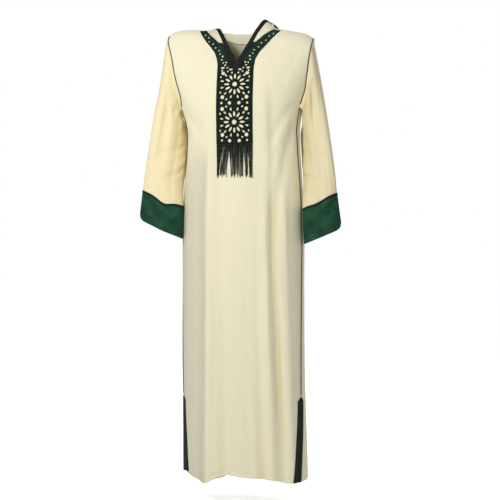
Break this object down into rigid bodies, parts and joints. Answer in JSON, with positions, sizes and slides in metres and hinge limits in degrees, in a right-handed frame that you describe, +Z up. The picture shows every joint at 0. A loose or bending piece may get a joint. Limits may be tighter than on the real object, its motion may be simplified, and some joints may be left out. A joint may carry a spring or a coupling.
{
  "type": "hooded djellaba robe",
  "caption": "Long hooded robe worn on no one: V neck with cutwork bib and fringe, long sleeves with wide velvet cuffs, side slits, hood lying on the back.",
  "frame": {"origin": "middle of the neck opening, on the wearer's shoulders at the height of the side neck points, where the robe is held", "axes": "+Z up along the robe's length, -Y to the front, +X to the wearer's left"},
  "size_m": [0.626, 0.2867, 1.4339],
  "materials": {
    "robe_cloth": "smooth crepe weave, matt, pale ivory",
    "sleeve_cloth": "the same crepe, a little warmer",
    "velvet": "short-pile velvet, deep green",
    "cutwork_velvet": "velvet with open cutwork, very dark green",
    "dark_binding": "satin tape, cord and thread, near black",
    "dark_band": "velvet band, near black"
  },
  "bodies": {
    "root": {"front_panel": "robe_cloth", "back_panel": "robe_cloth", "hood_right": "robe_cloth", "hood_left": "robe_cloth", "sleeve_right": "sleeve_cloth", "sleeve_left": "sleeve_cloth", "cuff_right": "velvet", "cuff_left": "velvet", "cutwork_plastron": "cutwork_velvet", "edge_binding": "dark_binding", "fringe": "dark_binding", "armhole_piping_right": "dark_binding", "armhole_piping_left": "dark_binding", "side_piping_right": "dark_binding", "side_piping_left": "dark_binding", "slit_band_front_right": "dark_band", "slit_band_front_left": "dark_band", "slit_band_back_right": "dark_band", "slit_band_back_left": "dark_band", "hem_facing_front": "dark_band", "hem_facing_back": "dark_band"}
  },
  "joints": []
}
